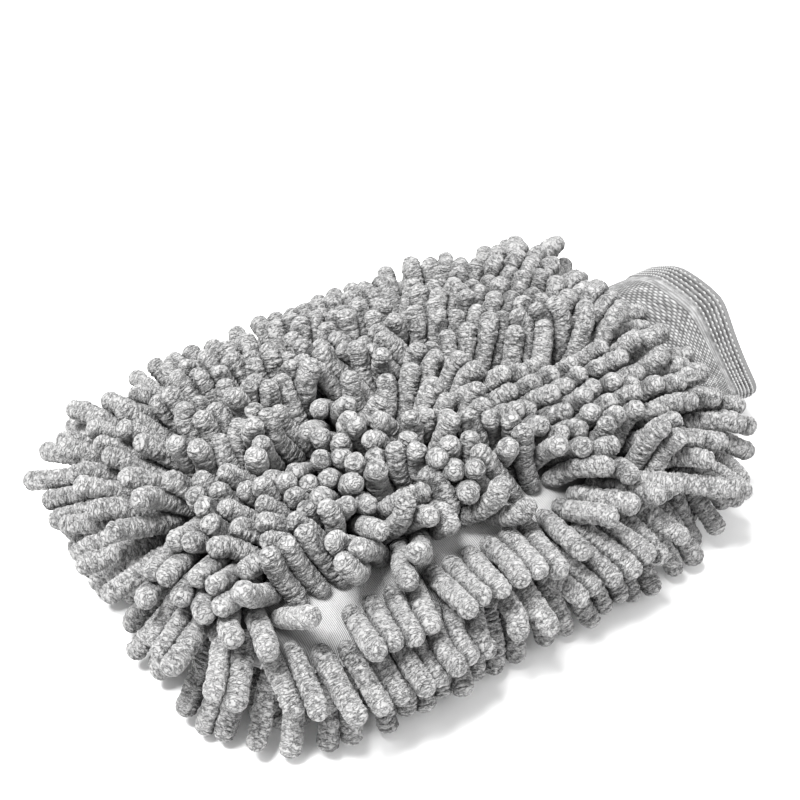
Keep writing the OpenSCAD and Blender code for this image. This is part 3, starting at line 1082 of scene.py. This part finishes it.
def lining_material():
    m = Shader("Lining", roughness=0.7, sheen=0.1, specular=0.3)
    mesh = m.add("ShaderNodeTexVoronoi", feature="DISTANCE_TO_EDGE")
    mesh.inputs["Scale"].default_value = 1 / (1.1 * MM)
    m.link(m.place(), mesh, "Vector")
    value = m.total(m.times(mesh.outputs["Distance"], 1.2), m.times(m.noise(6 * MM), 0.3))
    m.greys(value, (0.05, 0.42), (0.4, 0.33), (0.9, 0.25))
    m.bump(value, 0.2 * MM, 0.6)
    return m.material


def cuff_material():
    m = Shader("Knitted cuff", roughness=0.85, sheen=0.2, specular=0.2)
    fibres = m.noise(0.5 * MM, detail=3, roughness=0.65)
    value = m.total(m.attribute("tone"), m.swing(fibres, 0.5, 0.3))
    m.greys(value, (0.0, 0.015), (0.3, 0.06), (0.55, 0.15), (0.95, 0.40))
    m.bump(fibres, 0.25 * MM, 0.8)
    return m.material


def yarn_material(name, size, greys, sheen, roughness, specular, bump):
    """A plain yarn or thread whose twist is size across, between a dark and a light grey."""
    m = Shader(name, roughness=roughness, sheen=sheen, specular=specular)
    twist = m.noise(size, detail=2)
    m.greys(twist, (0.3, greys[0]), (0.7, greys[1]))
    m.bump(twist, bump, 0.7)
    return m.material


def floor_material():
    m = Shader("Studio floor", roughness=0.9, specular=0.1)
    m.greys(m.noise(0.4, detail=1), (0.3, 0.93), (0.7, 0.95))
    return m.material


chenille = chenille_material()
ground = ground_material()
lining = lining_material()
cuff_knit = cuff_material()
elastic = yarn_material(
    "Elastic yarn", 0.3 * MM, (0.26, 0.44), sheen=0.2, roughness=0.7, specular=0.3, bump=0.15 * MM
)
thread = yarn_material(
    "Sewing thread", 0.35 * MM, (0.22, 0.42), sheen=0.1, roughness=0.6, specular=0.35, bump=0.1 * MM
)


# ---- Camera, light and floor ----

AZIMUTH, ELEVATION = math.radians(-34), math.radians(40.5)
DISTANCE = 0.529            # from the camera to its target
LENS = 67.5                 # focal length in mm
TARGET = Vector((0.0058, 0.026, 0.025))


def make_camera():
    data = bpy.data.cameras.new("camera")
    data.lens = LENS
    data.clip_start, data.clip_end = 0.01, 50
    camera = bpy.data.objects.new("camera", data)
    bpy.context.scene.collection.objects.link(camera)
    level = math.cos(ELEVATION)
    back = Vector((math.sin(AZIMUTH) * level, -math.cos(AZIMUTH) * level, math.sin(ELEVATION)))
    camera.location = TARGET + back * DISTANCE
    camera.rotation_mode = "QUATERNION"
    camera.rotation_quaternion = (-back).to_track_quat("-Z", "Y")
    bpy.context.scene.camera = camera


def make_lamp(name, place, size, power):
    data = bpy.data.lights.new(name, "AREA")
    data.shape = "DISK"
    data.size = size
    data.energy = power
    lamp = bpy.data.objects.new(name, data)
    bpy.context.scene.collection.objects.link(lamp)
    lamp.location = place
    lamp.rotation_mode = "QUATERNION"
    lamp.rotation_quaternion = (Vector(place) - Vector((0, 0, 0.03))).to_track_quat("Z", "Y")


def make_studio():
    world = bpy.data.worlds.new("studio")
    world.use_nodes = True
    sky = world.node_tree.nodes["Background"]
    sky.inputs["Color"].default_value = (1, 1, 1, 1)
    sky.inputs["Strength"].default_value = 0.85
    bpy.context.scene.world = world
    make_lamp("key", (-0.45, 0.0, 1.35), 0.55, 44)
    make_lamp("fill", (0.4, -1.1, 0.9), 0.9, 6)
    reach = 4.0
    corners = np.array([[-reach, -reach, 0], [reach, -reach, 0], [reach, reach, 0], [-reach, reach, 0]])
    floor = make_mesh("studio_floor", corners, [[0, 1, 2, 3]])
    floor.data.materials.append(floor_material())
    bpy.context.scene.view_settings.view_transform = "Standard"


make_camera()
make_studio()
top_cloth = make_cloth("top_cloth", TOP, 0.0, PANEL_T, ground, "top_panel")
bottom_cloth = make_cloth("bottom_cloth", BOTTOM, 0.0, PANEL_T, ground, "bottom_panel")
inset = PANEL_T + LINING_GAP
top_inner = make_cloth("top_lining_cloth", TOP, inset, LINING_T, lining, "top_lining")
bottom_inner = make_cloth("bottom_lining_cloth", BOTTOM, inset, LINING_T, lining, "bottom_lining")
make_pile()
cuff = make_cuff()
make_elastics()
# The cloths are cut with rounded corners, and the cuff is a knitted tube.
make_side_seam()
make_cuff_seam()
